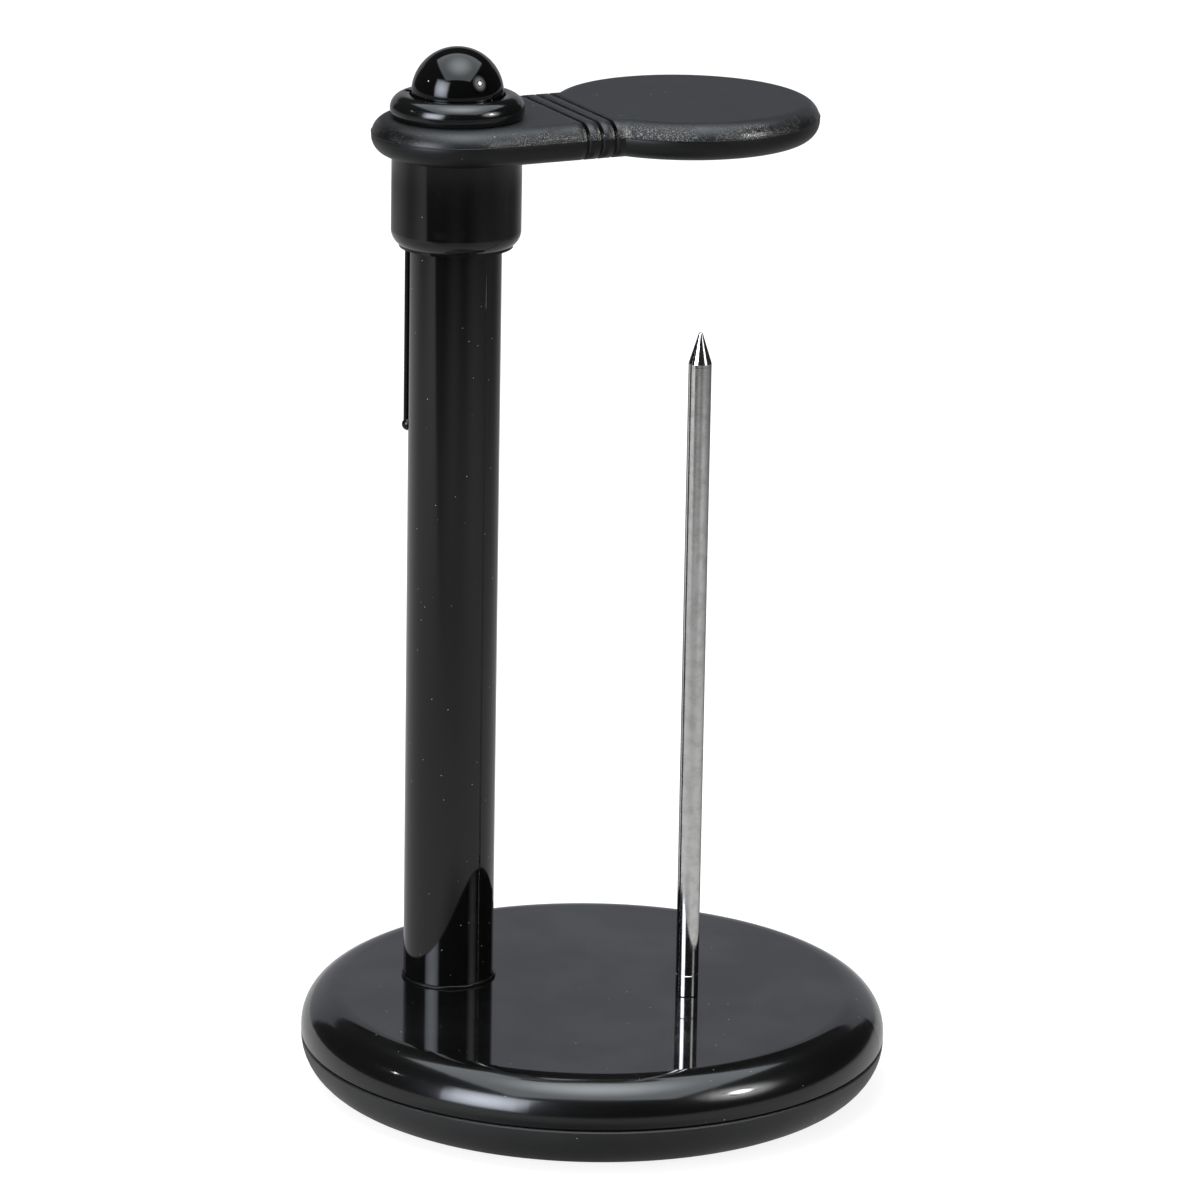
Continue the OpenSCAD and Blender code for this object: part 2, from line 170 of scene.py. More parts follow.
# Finishes: the upright part of the normal on flats and on rounded edges, the usual spread of a
# noise, how sharp a speck of dust is, and the roughness of dust and of rub marks
ROUNDED = (0.995, 0.9)
NOISE_SPREAD = (0.3, 0.7)
SPECK_EDGE = 60.0
DUST_ROUGHNESS = 0.8
MARK_ROUGHNESS = 0.06


def heading(turn, rise):
    """Unit vector from the object: turn 0 is +Y, 90 is +X; rise is above the horizon, in degrees."""
    t, r = math.radians(turn), math.radians(rise)
    return Vector((math.sin(t) * math.cos(r), math.cos(t) * math.cos(r), math.sin(r)))


def add_object(name, data):
    obj = bpy.data.objects.new(name, data)
    bpy.context.scene.collection.objects.link(obj)
    return obj


def make_camera():
    data = bpy.data.cameras.new("photo_camera")
    data.lens = CAMERA_LENS
    data.sensor_width = CAMERA_SENSOR
    camera = add_object("photo_camera", data)
    back = heading(180 - CAMERA_TURN, CAMERA_RISE)
    camera.location = CAMERA_TARGET + back * CAMERA_DISTANCE
    camera.rotation_mode = "QUATERNION"
    roll = Quaternion((0, 0, 1), math.radians(CAMERA_ROLL))
    camera.rotation_quaternion = (-back).to_track_quat("-Z", "Y") @ roll
    bpy.context.scene.camera = camera


# Node helpers
def empty_tree(owner):
    """Node tree of a material or a world, with its first nodes taken out."""
    owner.use_nodes = True
    owner.node_tree.nodes.clear()
    return owner.node_tree


def feed(tree, socket, source):
    tree.links.new(source, socket)


def add_node(tree, kind, inputs=None, **settings):
    """A new node with its settings; inputs maps a socket to a value or to the socket that feeds it."""
    node = tree.nodes.new(kind)
    for name, value in settings.items():
        setattr(node, name, value)
    for socket, value in (inputs or {}).items():
        if isinstance(value, bpy.types.NodeSocket):
            feed(tree, node.inputs[socket], value)
        else:
            node.inputs[socket].default_value = value
    return node


def math_node(tree, operation, a, b=0.0, c=0.0, clamp=False):
    inputs = {0: a, 1: b, 2: c}
    return add_node(tree, "ShaderNodeMath", inputs, operation=operation, use_clamp=clamp).outputs[0]


def product(tree, value, *factors):
    for factor in factors:
        value = math_node(tree, "MULTIPLY", value, factor)
    return value


def measure(tree, operation, a, b):
    """A number from two vectors, such as their DISTANCE or DOT_PRODUCT."""
    return add_node(tree, "ShaderNodeVectorMath", {0: a, 1: b}, operation=operation).outputs["Value"]


def ramp(tree, value, low, high, to_low=0.0, to_high=1.0):
    """Smooth step of value from low to high."""
    node = add_node(
        tree,
        "ShaderNodeMapRange",
        {"Value": value, "From Min": low, "From Max": high, "To Min": to_low, "To Max": to_high},
        interpolation_type="SMOOTHSTEP",
    )
    return node.outputs["Result"]


def band(tree, value, rise, fall, level=1.0):
    """Smooth step of value up to level, and down again."""
    return product(tree, ramp(tree, value, *rise, 0.0, level), ramp(tree, value, *fall))


def spread(tree, pattern, low, high):
    """A noise, brought to between low and high."""
    return ramp(tree, pattern, *NOISE_SPREAD, low, high)


def mix_value(tree, share, a, b):
    return add_node(tree, "ShaderNodeMix", {0: share, 2: a, 3: b}).outputs[0]


def mix_colour(tree, share, a, b):
    return add_node(tree, "ShaderNodeMix", {0: share, 6: a, 7: b}, data_type="RGBA").outputs[2]


def mix_shader(tree, share, a, b):
    return add_node(tree, "ShaderNodeMixShader", {0: share, 1: a, 2: b}).outputs[0]


def coordinates(tree, kind="Object"):
    return tree.nodes.new("ShaderNodeTexCoord").outputs[kind]


def upright(tree, kind):
    """Upright part of the place on the model ("Object") or of the normal ("Normal")."""
    return add_node(tree, "ShaderNodeSeparateXYZ", {0: coordinates(tree, kind)}).outputs[2]


def stretched_place(tree, stretch=(1, 1, 1)):
    inputs = {"Vector": coordinates(tree), "Scale": stretch}
    return add_node(tree, "ShaderNodeMapping", inputs).outputs["Vector"]


def noise(tree, place, scale, detail=2.0, roughness=0.5):
    inputs = {"Vector": place, "Scale": scale, "Detail": detail, "Roughness": roughness}
    return add_node(tree, "ShaderNodeTexNoise", inputs).outputs["Fac"]


def bump(tree, height, depth):
    inputs = {"Height": height, "Distance": depth, "Strength": 1.0}
    return add_node(tree, "ShaderNodeBump", inputs).outputs["Normal"]


def grey(level, warm=0.0):
    return (level * (1 + warm), level, level * (1 - warm), 1)


# Studio
def make_world():
    """White to the camera, dark to reflections, a soft light to the rest."""
    world = bpy.data.worlds.new("studio_room")
    bpy.context.scene.world = world
    tree = empty_tree(world)
    rays = tree.nodes.new("ShaderNodeLightPath").outputs

    def background(level):
        return add_node(tree, "ShaderNodeBackground", {"Color": grey(level)}).outputs[0]

    lit = mix_shader(tree, rays["Is Glossy Ray"], background(AMBIENT_LEVEL), background(DARK_LEVEL))
    seen = mix_shader(tree, rays["Is Camera Ray"], lit, background(1.0))
    add_node(tree, "ShaderNodeOutputWorld", {"Surface": seen})


def plane(name, width, height):
    mesh = bpy.data.meshes.new(name)
    w, h = width / 2, height / 2
    mesh.from_pydata([(-w, -h, 0), (w, -h, 0), (w, h, 0), (-w, h, 0)], [], [(0, 1, 2, 3)])
    obj = add_object(name, mesh)
    return obj


def pools(tree, place, spots):
    """Sum of the soft round pools of light at a place on the table."""
    level = DARK_LEVEL
    for middle, reach, peak in spots:
        away = measure(tree, "DISTANCE", place, middle)
        level = math_node(tree, "ADD", ramp(tree, away, reach, 0.0, 0.0, peak), level)
    return level


def make_floor():
    """White to the camera, with the object's soft shadow; to reflections a glowing table, painted with
    pools of light and the base's painted contact shadow, that fades into a dark room."""
    floor = plane("floor", FLOOR_WIDE, FLOOR_WIDE)
    material = bpy.data.materials.new("pale_table")
    tree = empty_tree(material)
    rays = tree.nodes.new("ShaderNodeLightPath").outputs
    pale = add_node(tree, "ShaderNodeBsdfDiffuse", {"Color": grey(FLOOR_TONE)}).outputs[0]
    shadowed = add_node(tree, "ShaderNodeBsdfDiffuse", {"Color": grey(FLOOR_SHADOW_TONE)}).outputs[0]
    glow = add_node(tree, "ShaderNodeEmission", {"Strength": FLOOR_GLOW}).outputs[0]
    white = add_node(tree, "ShaderNodeAddShader", {0: shadowed, 1: glow}).outputs[0]
    place = coordinates(tree)
    outward = heading(LEFT_EDGE_TURN + 90, 0)
    side = measure(tree, "DOT_PRODUCT", place, outward)
    edge = LEFT_EDGE_PLACE.dot(outward)
    left = ramp(tree, side, edge - LEFT_EDGE_SOFT, edge + LEFT_EDGE_SOFT)
    left_light = pools(tree, place, LEFT_POOLS)
    level = math_node(tree, "MULTIPLY_ADD", left_light, left, pools(tree, place, TABLE_POOLS))
    away = measure(tree, "DISTANCE", place, POST_PLACE)
    level = math_node(tree, "ADD", level, ramp(tree, away, *FAR_TABLE, 0.0, FAR_LEVEL))
    table = add_node(tree, "ShaderNodeEmission", {"Strength": level}).outputs[0]
    lit = mix_shader(tree, rays["Is Glossy Ray"], pale, table)
    seen = mix_shader(tree, rays["Is Camera Ray"], lit, white)
    add_node(tree, "ShaderNodeOutputMaterial", {"Surface": seen})
    floor.data.materials.append(material)


def make_card(name, width, height, level=0.0, core=None, soft=0.12, tint=(1, 1, 1, 1)):
    """A flat light that only reflections see: level across it, fading over the share soft at its
    edges. core is (share of the half size, level) of a brighter round middle."""
    card = plane(name, width, height)
    material = bpy.data.materials.new(name)
    tree = empty_tree(material)
    sizes = {0: coordinates(tree), 1: (1 / width, 1 / height, 0)}
    place = add_node(tree, "ShaderNodeVectorMath", sizes, operation="MULTIPLY").outputs[0]
    split = add_node(tree, "ShaderNodeSeparateXYZ", {0: place}).outputs
    across = math_node(tree, "ABSOLUTE", split[0])
    along = math_node(tree, "ABSOLUTE", split[1])
    edge = math_node(tree, "MAXIMUM", across, along)
    strength = ramp(tree, edge, 0.5, 0.5 - soft / 2, 0.0, level)
    if core:
        share, peak = core
        radius = add_node(tree, "ShaderNodeVectorMath", {0: place}, operation="LENGTH")
        middle = ramp(tree, radius.outputs["Value"], share / 2, 0.0, 0.0, peak - level)
        strength = math_node(tree, "ADD", strength, middle)
    light = add_node(tree, "ShaderNodeEmission", {"Color": tint, "Strength": strength}).outputs[0]
    add_node(tree, "ShaderNodeOutputMaterial", {"Surface": light})
    card.data.materials.append(material)
    card.visible_camera = False
    card.visible_diffuse = False
    card.visible_shadow = False
    return card


def aim(thing, turn, rise, away):
    """Stands a card or a lamp off in a direction and turns it to the object."""
    out = heading(turn, rise)
    thing.location = STUDIO_MIDDLE + out * away
    thing.rotation_mode = "QUATERNION"
    thing.rotation_quaternion = out.to_track_quat("Z", "Y")


def make_lamp(name, turn, rise, away, size, power):
    """A soft lamp for the matt light; reflections see the cards instead."""
    data = bpy.data.lights.new(name, "AREA")
    data.size = size
    data.energy = power
    lamp = add_object(name, data)
    aim(lamp, turn, rise, away)
    lamp.visible_glossy = False
    lamp.visible_camera = False


def make_studio():
    make_world()
    make_floor()
    scrim = make_card(
        "overhead_scrim", width=1.34, height=1.48, level=2.3, core=(0.75, 6.9), tint=SCRIM_TINT
    )
    scrim.location = SCRIM_PLACE
    scrim.rotation_euler.z = math.radians(CAMERA_TURN)
    box = make_card(
        "left_soft_box", width=1.3, height=1.46, level=5.5, core=(1.1, 12.5), soft=0.4, tint=BOX_TINT
    )
    aim(box, turn=-149, rise=19.8, away=1.8)
    shade = make_card("right_lamp_shade", width=1.15, height=1.15, core=(1.0, 7.5))
    aim(shade, turn=104, rise=30, away=1.6)
    bulb = make_card("right_lamp_bulb", width=0.32, height=0.32, core=(1.0, 85.0))
    aim(bulb, turn=103, rise=30.2, away=1.58)
    far_lamp = make_card("far_left_lamp", width=0.07, height=0.07, core=(1.0, 100.0))
    aim(far_lamp, turn=-104, rise=25, away=1.7)
    backdrop = make_card("grey_backdrop", width=1.9, height=0.75, level=0.38, tint=BACKDROP_TINT)
    aim(backdrop, turn=-15, rise=10, away=1.2)
    make_lamp("key_above", turn=-60, rise=70, away=1.2, size=1.2, power=14)
    make_lamp("fill_left", turn=-149, rise=22, away=1.8, size=1.2, power=10)


# Shared effects
def shader_group(name, inputs, outputs):
    """A group with number inputs; returns it with the sockets its nodes read from and feed."""
    tree = bpy.data.node_groups.new(name, "ShaderNodeTree")
    for label, value in inputs.items():
        socket = tree.interface.new_socket(label, in_out="INPUT", socket_type="NodeSocketFloat")
        socket.default_value = value
    for label in outputs:
        tree.interface.new_socket(label, in_out="OUTPUT", socket_type="NodeSocketFloat")
    start = tree.nodes.new("NodeGroupInput").outputs
    end = tree.nodes.new("NodeGroupOutput").inputs
    return tree, start, end


def place_group(tree, group, **values):
    node = tree.nodes.new("ShaderNodeGroup")
    node.node_tree = group
    for label, value in values.items():
        node.inputs[label.capitalize()].default_value = value
    return node.outputs


def dust_group():
    """Sparse pale specks: the cells whose middle lies close to the surface."""
    tree, start, end = shader_group("dust_specks", {"Cells": 250.0, "Size": 0.03}, ["Mask"])
    inputs = {"Vector": stretched_place(tree), "Scale": start["Cells"]}
    cells = add_node(tree, "ShaderNodeTexVoronoi", inputs)
    inside = math_node(tree, "SUBTRACT", start["Size"], cells.outputs["Distance"])
    feed(tree, end["Mask"], math_node(tree, "MULTIPLY", inside, SPECK_EDGE, clamp=True))
    return tree


def grain_group():
    """Fine moulded grain: height of the grain and a slow change of tone."""
    values = {"Grain": 3000.0, "Cloud": 60.0}
    tree, start, end = shader_group("moulded_grain", values, ["Height", "Tone"])
    place = stretched_place(tree)
    feed(tree, end["Height"], noise(tree, place, start["Grain"], 3.0, 0.6))
    feed(tree, end["Tone"], noise(tree, place, start["Cloud"]))
    return tree


def rub_group():
    """Hairline rub marks in two directions and the soft smears between them."""
    values = {"Lines": 900.0, "Smears": 45.0}
    tree, start, end = shader_group("rub_marks", values, ["Marks", "Smears"])
    first = noise(tree, stretched_place(tree, (1.0, 0.05, 0.4)), start["Lines"], 1.0)
    second = noise(tree, stretched_place(tree, (0.05, 1.0, 0.4)), start["Lines"], 1.0)
    lines = math_node(tree, "MAXIMUM", first, second)
    feed(tree, end["Marks"], ramp(tree, lines, 0.68, 0.8))
    feed(tree, end["Smears"], noise(tree, stretched_place(tree), start["Smears"], 3.0, 0.6))
    return tree


def drawn_group():
    """Lines along a drawn rod."""
    tree, start, end = shader_group("drawn_lines", {"Lines": 5000.0}, ["Along"])
    feed(tree, end["Along"], noise(tree, stretched_place(tree, (1.0, 1.0, 0.01)), start["Lines"]))
    return tree


DUST = dust_group()
GRAIN = grain_group()
RUB = rub_group()
DRAWN = drawn_group()


# Materials
PALE_DUST = grey(0.5)
ARM_DUST = grey(0.45)
# Arm tones: the end, underside and groove tones are painted shade, the groove light tone is painted
# light, the lip tone is partly painted highlight and the rubbed tone is partly painted glints
ARM_TOP_TONES = grey(0.008, -0.08), grey(0.021, -0.12)
ARM_END_SHADE_TONE = grey(0.004, -0.08)
ARM_UNDERSIDE_SHADE_TONE = grey(0.005, -0.06)
ARM_WEAR_AND_GLINT_TONE = grey(0.34, 0.03)
ARM_WEAR_AND_HIGHLIGHT_TONE = grey(0.36, 0.03)
ARM_SHADE_AND_NICK_TONE = grey(0.002)
ARM_GROOVE_LIGHT_TONE = grey(0.045)


def principled(name, **values):
    """A material with a Principled shader; values are those of its plain sockets."""
    material = bpy.data.materials.new(name)
    material.use_nodes = True
    tree = material.node_tree
    sockets = tree.nodes["Principled BSDF"].inputs
    for label, value in values.items():
        sockets[label.replace("_", " ")].default_value = value
    return material, tree, sockets


def gloss_black(name, tone, shine, rounded, cells=260.0, size=0.035, ior=1.5, haze=0.0):
    """Polished black moulding with rub marks, smears and a little dust. shine is the roughness of
    its flats, rounded that of its rounded edges; cells and size set the dust, haze a cloudy bloom."""
    material, tree, sockets = principled(name, IOR=ior, Coat_Roughness=0.3)
    dust = place_group(tree, DUST, cells=cells, size=size)["Mask"]
    rub = place_group(tree, RUB)
    up = upright(tree, "Normal")
    colour = mix_colour(tree, rub["Smears"], grey(tone * 0.8), grey(tone * 1.2, -0.04))
    feed(tree, sockets["Base Color"], mix_colour(tree, dust, colour, PALE_DUST))
    base = ramp(tree, up, *ROUNDED, shine, rounded)
    dull = product(tree, base, ramp(tree, rub["Smears"], 0.3, 0.8, 0.8, 1.5))
    marked = math_node(tree, "MULTIPLY_ADD", rub["Marks"], MARK_ROUGHNESS, dull)
    dusty = math_node(tree, "MAXIMUM", marked, product(tree, dust, DUST_ROUGHNESS))
    feed(tree, sockets["Roughness"], dusty)
    cloudy = ramp(tree, rub["Smears"], 0.35, 0.7, 0.0, haze)
    feed(tree, sockets["Coat Weight"], mix_value(tree, ramp(tree, up, *ROUNDED), cloudy, haze))
    return material


def satin_black():
    """Satin moulding of the tray: fine grain, softly clouded, a little dust."""
    material, tree, sockets = principled("satin_black_tray", IOR=1.5)
    grain = place_group(tree, GRAIN, grain=3500.0, cloud=70.0)
    dust = place_group(tree, DUST, cells=240.0, size=0.04)["Mask"]
    colour = mix_colour(tree, grain["Tone"], grey(0.016), grey(0.024, -0.03))
    feed(tree, sockets["Base Color"], mix_colour(tree, dust, colour, PALE_DUST))
    feed(tree, sockets["Roughness"], spread(tree, grain["Tone"], 0.42, 0.5))
    feed(tree, sockets["Normal"], bump(tree, grain["Height"], 0.02 * MM))
    return material


def grained_arm():
    """Arm: a dull top, and an edge rubbed above the parting line, its grain peaks pale from wear and
    painted glints, and even and painted darker below it as painted shade. The grooves have painted
    shade above the parting line and painted light below it, painted highlights on their lips, a scuff
    and a nick beside them; bits of the parting line are pale."""
    material, tree, sockets = principled("grained_black_arm", IOR=1.38)
    clouds = place_group(tree, GRAIN, cloud=30.0)["Tone"]
    skin = place_group(tree, GRAIN, grain=3200.0, cloud=190.0)
    dust = place_group(tree, DUST, cells=230.0, size=0.04)["Mask"]
    place = coordinates(tree)
    up = upright(tree, "Normal")
    rise = math_node(tree, "SUBTRACT", upright(tree, "Object"), PARTING_Z)
    reach = math_node(tree, "SUBTRACT", measure(tree, "DOT_PRODUCT", place, ARM_WAY), ARM_START)

    # Rubbed part of the edge: above the parting line, in patches, most round the neck
    upper = ramp(tree, rise, *UPPER_EDGE)
    edge = product(tree, upper, ramp(tree, up, *RUB_SLOPE))
    patches = ramp(tree, skin["Tone"], 0.36, 0.6, 0.15, 1.0)
    comes, goes = NECK_WEAR
    neck = product(tree, ramp(tree, reach, *comes, 0.15, 1.0), ramp(tree, reach, *goes, 0.5, 1.0))
    away = measure(tree, "DISTANCE", place, HANDLED_PLACE)
    handled = ramp(tree, away, *HANDLED_REACH)
    rubbed = math_node(tree, "MAXIMUM", product(tree, patches, neck), handled)
    rubbed = product(tree, edge, rubbed)
    low = ramp(tree, rise, *RUB_HEIGHT, 0.5, 1.0)
    # grain peaks on the rubbed edge painted pale: partly wear, partly painted glints
    wear_and_glint_peaks = product(tree, rubbed, low, ramp(tree, skin["Height"], 0.53, 0.62))

    # Grooves, with painted shade above the parting line and painted light that fades it below, and the
    # ridges between them
    first = math_node(tree, "SUBTRACT", reach, GROOVE_FIRST)
    from_middle = math_node(tree, "SUBTRACT", first, GROOVE_PITCH * (GROOVE_COUNT - 1) / 2)
    from_middle = math_node(tree, "ABSOLUTE", from_middle)
    inside = math_node(tree, "LESS_THAN", from_middle, GROOVE_PITCH * GROOVE_COUNT / 2)
    off = math_node(tree, "PINGPONG", first, GROOVE_PITCH / 2)
    groove = product(tree, inside, ramp(tree, off, *GROOVE_PAINTED_SPAN))
    # painted shade in the grooves above the parting line
    groove_shade = product(tree, groove, upper)
    # painted light: the grooves below the parting line are painted paler, fading their shade
    lower_groove_light = product(tree, groove, math_node(tree, "SUBTRACT", 1.0, upper))
    hollow = product(tree, inside, ramp(tree, off, GROOVE_PITCH / 2, 0.0))

    # Painted highlight on the lip on the post's side of each groove, down to the parting line, painted
    # light in the grooves near that line, and a scuff and a nick
    sided = math_node(tree, "WRAP", first, GROOVE_PITCH / 2, -GROOVE_PITCH / 2)
    highlight_and_scuff = product(tree, inside, band(tree, sided, *LIP))
    # painted light: the grooves are painted pale toward the parting line
    upper_groove_light = product(tree, groove, ramp(tree, rise, *FILL_HEIGHT, 0.0, 0.4))
    highlight_and_scuff = math_node(tree, "MAXIMUM", highlight_and_scuff, upper_groove_light)
    highlight_and_scuff = math_node(tree, "MAXIMUM", highlight_and_scuff, band(tree, reach, *SCUFF, SCUFF_LEVEL))
    grainy = ramp(tree, skin["Height"], 0.44, 0.56, 0.1, 1.0)
    highlight_and_scuff = product(tree, highlight_and_scuff, upper, ramp(tree, up, *LIP_SLOPE), grainy)
    nick = product(tree, band(tree, reach, *NICK, NICK_LEVEL), upper, ramp(tree, up, *NICK_SLOPE))

    # Bits of the parting line that are rubbed pale
    line = ramp(tree, math_node(tree, "ABSOLUTE", rise), *BITS_HEIGHT)
    bits = product(tree, line, ramp(tree, skin["Height"], 0.5, 0.58))
    bits = product(tree, bits, ramp(tree, skin["Tone"], 0.44, 0.54, 0.2, 0.9))
    bits = product(tree, bits, band(tree, reach, *PALE_BITS))

    colour = mix_colour(tree, clouds, *ARM_TOP_TONES)
    # painted shade on the arm's end beyond the post
    colour = mix_colour(tree, ramp(tree, reach, *END_SHADE), colour, ARM_END_SHADE_TONE)
    # painted shade: the edge below the parting line is painted darker than the top
    colour = mix_colour(tree, upper, ARM_UNDERSIDE_SHADE_TONE, colour)
    # pale grain peaks: partly wear, partly painted glints
    colour = mix_colour(tree, wear_and_glint_peaks, colour, ARM_WEAR_AND_GLINT_TONE)
    # painted shade in the grooves
    colour = mix_colour(tree, groove_shade, colour, ARM_SHADE_AND_NICK_TONE)
    # painted light in the grooves below the parting line
    colour = mix_colour(tree, lower_groove_light, colour, ARM_GROOVE_LIGHT_TONE)
    # painted highlights on the lips and painted light in the grooves, with the scuff and pale bits
    colour = mix_colour(tree, math_node(tree, "MAXIMUM", highlight_and_scuff, bits), colour, ARM_WEAR_AND_HIGHLIGHT_TONE)
    colour = mix_colour(tree, nick, colour, ARM_SHADE_AND_NICK_TONE)
    feed(tree, sockets["Base Color"], mix_colour(tree, dust, colour, ARM_DUST))

    grain = mix_value(tree, rubbed, PLAIN_GRAIN, RUBBED_GRAIN)
    smoothed = ramp(tree, away, *HANDLED_REACH, 1.0, HANDLED_GRAIN)
    grain = product(tree, grain, smoothed, skin["Height"])
    height = math_node(tree, "SUBTRACT", grain, product(tree, hollow, GROOVE_HOLLOW))
    feed(tree, sockets["Normal"], bump(tree, height, ARM_RELIEF))

    dull = mix_value(tree, upper, UNDERSIDE_ROUGHNESS, spread(tree, clouds, *TOP_ROUGHNESS))
    dull = mix_value(tree, edge, dull, EDGE_ROUGHNESS)
    dull = mix_value(tree, rubbed, dull, RUBBED_ROUGHNESS)
    dull = mix_value(tree, product(tree, handled, edge), dull, HANDLED_ROUGHNESS)
    feed(tree, sockets["Roughness"], mix_value(tree, groove_shade, dull, GROOVE_ROUGHNESS))
    return material


def blackened_wire():
    material, tree, sockets = principled("blackened_wire", IOR=1.4)
    lines = place_group(tree, DRAWN, lines=3000.0)["Along"]
    feed(tree, sockets["Base Color"], mix_colour(tree, lines, grey(0.002), grey(0.006)))
    feed(tree, sockets["Roughness"], spread(tree, lines, 0.12, 0.22))
    return material


def spike_steel():
    """Drawn and polished rod: lines along it, a mottled skin, small stains, and dark where it is
    seen edge-on."""
    material, tree, sockets = principled(
        "polished_spike_steel", Metallic=1.0, Specular_Tint=grey(0.1)
    )
    lines = place_group(tree, DRAWN, lines=6000.0)["Along"]
    smears = place_group(tree, RUB, smears=350.0)["Smears"]
    mottle = place_group(tree, GRAIN, grain=2600.0, cloud=700.0)
    bright = mix_colour(tree, lines, grey(0.70, 0.005), grey(0.81, 0.005))
    stained = ramp(tree, smears, 0.35, 0.75, 0.0, 0.4)
    feed(tree, sockets["Base Color"], mix_colour(tree, stained, bright, grey(0.36, 0.03)))
    high = upright(tree, "Object")
    skin = product(tree, ramp(tree, high, *SKIN_FOOT, 0.3, 1.0), ramp(tree, high, *SKIN_TOP))
    dull = ramp(tree, mottle["Tone"], 0.35, 0.65, 0.05, 0.16)
    feed(tree, sockets["Roughness"], mix_value(tree, skin, 0.07, dull))
    height = math_node(tree, "ADD", product(tree, mottle["Height"], skin), lines)
    feed(tree, sockets["Normal"], bump(tree, height, 0.009 * MM))
    return material


def clouded(name, grain, cloud, tones, roughness, depth=0.0, **values):
    """A plain material: clouded between two tones, its grain rough between two values and raised by
    depth."""
    material, tree, sockets = principled(name, **values)
    pattern = place_group(tree, GRAIN, grain=grain, cloud=cloud)
    feed(tree, sockets["Base Color"], mix_colour(tree, pattern["Tone"], *tones))
    feed(tree, sockets["Roughness"], spread(tree, pattern["Height"], *roughness))
    if depth:
        feed(tree, sockets["Normal"], bump(tree, pattern["Height"], depth))
    return material


def zinc_steel():
    return clouded(
        "zinc_plate",
        grain=2200.0,
        cloud=400.0,
        tones=(grey(0.5, 0.02), grey(0.66, -0.02)),
        roughness=(0.28, 0.42),
        depth=0.006 * MM,
        Metallic=1.0,
    )


def ballast_iron():
    return clouded(
        "ballast_iron",
        grain=900.0,
        cloud=90.0,
        tones=(grey(0.11), grey(0.2, 0.06)),
        roughness=(0.5, 0.7),
        depth=0.03 * MM,
        Metallic=0.8,
    )


def rubber():
    return clouded(
        "non_slip_rubber",
        grain=1800.0,
        cloud=80.0,
        tones=(grey(0.016), grey(0.03)),
        roughness=(0.75, 0.9),
        depth=0.05 * MM,
        IOR=1.45,
    )


def glide_plastic():
    return clouded(
        "glide_plastic",
        grain=2500.0,
        cloud=120.0,
        tones=(grey(0.62, 0.05), grey(0.72, 0.07)),
        roughness=(0.4, 0.5),
        IOR=1.5,
    )


def dress_nodes():
    """Every node of the model gets the finish of its piece."""
    cover = gloss_black("gloss_black_cover", tone=0.004, shine=0.03, rounded=0.1, haze=0.25)
    post = gloss_black(
        "gloss_black_post", tone=0.005, shine=0.05, rounded=0.05, cells=390.0, size=0.05
    )
    collar = gloss_black(
        "gloss_black_collar", tone=0.005, shine=0.05, rounded=0.05, cells=200.0, size=0.03
    )
    dome = gloss_black("gloss_black_dome", tone=0.004, shine=0.06, rounded=0.06, ior=1.42)
    ring = gloss_black("gloss_black_ring", tone=0.006, shine=0.13, rounded=0.13)
    bead = gloss_black("dull_black_bead", tone=0.003, shine=0.3, rounded=0.3, ior=1.3)
    zinc_pieces = [
        "base_screws", "post_screw", "post_washer", "spike_washer", "spike_nut", "swivel_washer"
    ]
    finishes = {
        cover: ["base_cover"],
        dome: ["dome_cap"],
        ring: ["retaining_ring"],
        post: ["post_tube"],
        collar: ["collar"],
        bead: ["post_foot_ring"],
        satin_black(): ["base_tray", "post_plug"],
        grained_arm(): ["press_arm"],
        blackened_wire(): ["guide_wire", "stop_bead"],
        spike_steel(): ["spike"],
        zinc_steel(): zinc_pieces,
        ballast_iron(): ["ballast_plate"],
        rubber(): ["non_slip_pad"],
        glide_plastic(): ["friction_ring"],
    }
    looks = {name: material for material, names in finishes.items() for name in names}
    for name, material in looks.items():
        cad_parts[name].material_slots[0].material = material
    return looks


# Fine pieces
def arc(middle, radius, start, end, steps):
    """Places on a round part of the arm's outline: distance along the arm, and across it."""
    turns = [start + (end - start) * i / steps for i in range(steps + 1)]
    return [(middle + radius * math.cos(turn), radius * math.sin(turn)) for turn in turns]


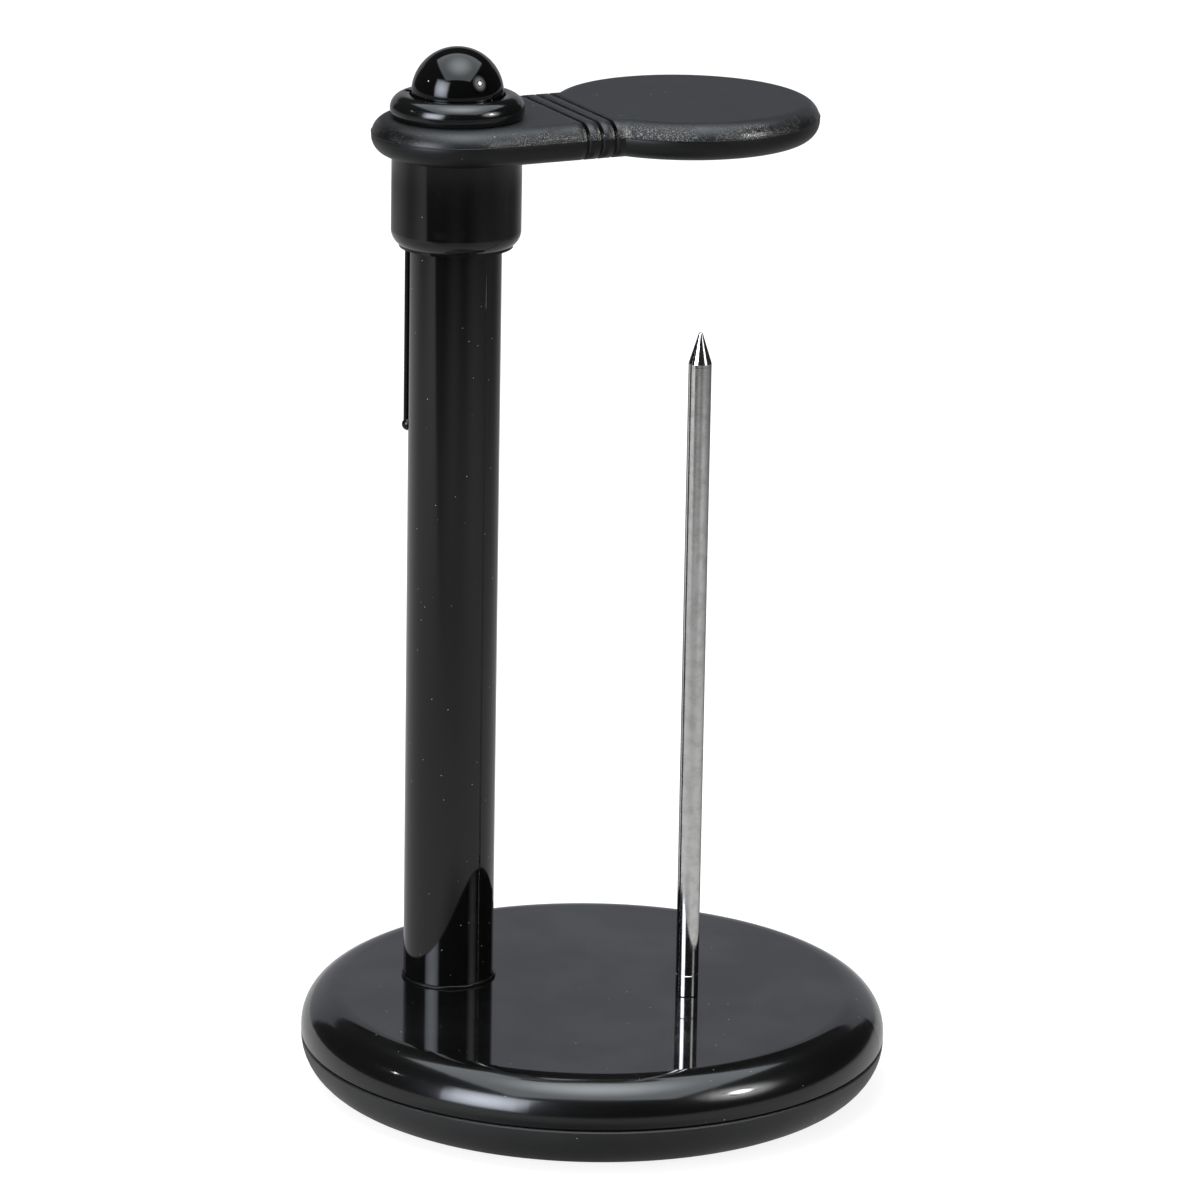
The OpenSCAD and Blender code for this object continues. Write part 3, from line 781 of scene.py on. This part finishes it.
def make_parting_line(material):
    """The fine raised line where the halves of the arm's mould met, broken where the grooves cross
    it."""
    low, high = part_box("press_arm")
    edge = (high[2] - low[2]) / 2
    rise = PARTING_Z - (high[2] + low[2]) / 2
    inset = edge - math.sqrt(edge**2 - rise**2)
    half = ARM_WIDE / 2 - inset
    pad = PAD_WIDE / 2 - inset
    meet = math.pi - math.asin(half / pad)
    grooves = [GROOVE_FIRST + i * GROOVE_PITCH for i in range(GROOVE_COUNT)]
    gap = GROOVE_WIDE / 2
    first, last = grooves[0] - gap, grooves[-1] + gap
    round_end = arc(ARM_LEAD, half, -math.pi / 2, -math.pi * 3 / 2, LINE_STEPS)
    round_pad = arc(PAD_REACH, pad, meet, -meet, 2 * LINE_STEPS)
    stretches = [
        [(first, -half), *round_end, (first, half)],
        [(last, half), *round_pad, (last, -half)],
    ]
    for before, after in zip(grooves, grooves[1:]):
        for side in (half, -half):
            stretches.append([(before + gap, side), (after - gap, side)])
    data = bpy.data.curves.new("arm_parting_line", "CURVE")
    data.dimensions = "3D"
    data.bevel_depth = LINE_RADIUS
    data.bevel_resolution = 2
    data.use_fill_caps = True
    for stretch in stretches:
        spline = data.splines.new("POLY")
        spline.points.add(len(stretch) - 1)
        for point, (along, across) in zip(spline.points, stretch):
            place = POST_PLACE + ARM_WAY * along + ARM_SIDE * across
            point.co = (place.x, place.y, PARTING_Z, 1)
    line = add_object("arm_parting_line", data)
    data.materials.append(material)
    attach(line, "arm")


def waved(turn, mean, waves):
    """A level that waves about its mean round the bead."""
    level = mean
    for size, count, shift in waves:
        level += size * math.sin(count * turn + shift)
    return level


def make_foot_bead(material):
    """The uneven bead of lacquer round the foot of the post, in the place of the plain ring."""
    low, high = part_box("post_foot_ring")
    middle = (Vector(low) + Vector(high)) / 2
    wide = (high[0] - low[0]) / 2
    tall = high[2] - low[2]
    inner = wide - BEAD_WIDTH
    leans = [math.pi / 2 * j / (BEAD_SIDES - 1) for j in range(BEAD_SIDES)]
    shape = bmesh.new()
    rows = []
    for i in range(BEAD_STEPS):
        turn = math.tau * i / BEAD_STEPS
        full = BEAD_WIDTH * waved(turn, *BEAD_FULL)
        rise = tall * waved(turn, *BEAD_RISE)
        section = [
            (inner + full * math.cos(lean) ** BEAD_BULGE, low[2] + rise * math.sin(lean) ** BEAD_BULGE)
            for lean in leans
        ]
        section.append((inner, low[2]))
        rows.append([
            shape.verts.new((middle.x + away * math.cos(turn), middle.y + away * math.sin(turn), up))
            for away, up in section
        ])
    for i, row in enumerate(rows):
        after = rows[(i + 1) % BEAD_STEPS]
        for j in range(len(row)):
            k = (j + 1) % len(row)
            face = shape.faces.new((row[j], after[j], after[k], row[k]))
            face.smooth = j < BEAD_SIDES - 1
    bmesh.ops.recalc_face_normals(shape, faces=shape.faces[:])
    mesh = bpy.data.meshes.new("post_foot_bead")
    shape.to_mesh(mesh)
    shape.free()
    bead = add_object("post_foot_bead", mesh)
    mesh.materials.append(material)
    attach(bead, "stand")
    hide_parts("post_foot_ring")


make_camera()
make_studio()
looks = dress_nodes()
make_parting_line(looks["press_arm"])
make_foot_bead(looks["post_foot_ring"])

bpy.context.scene.view_settings.view_transform = "Standard"
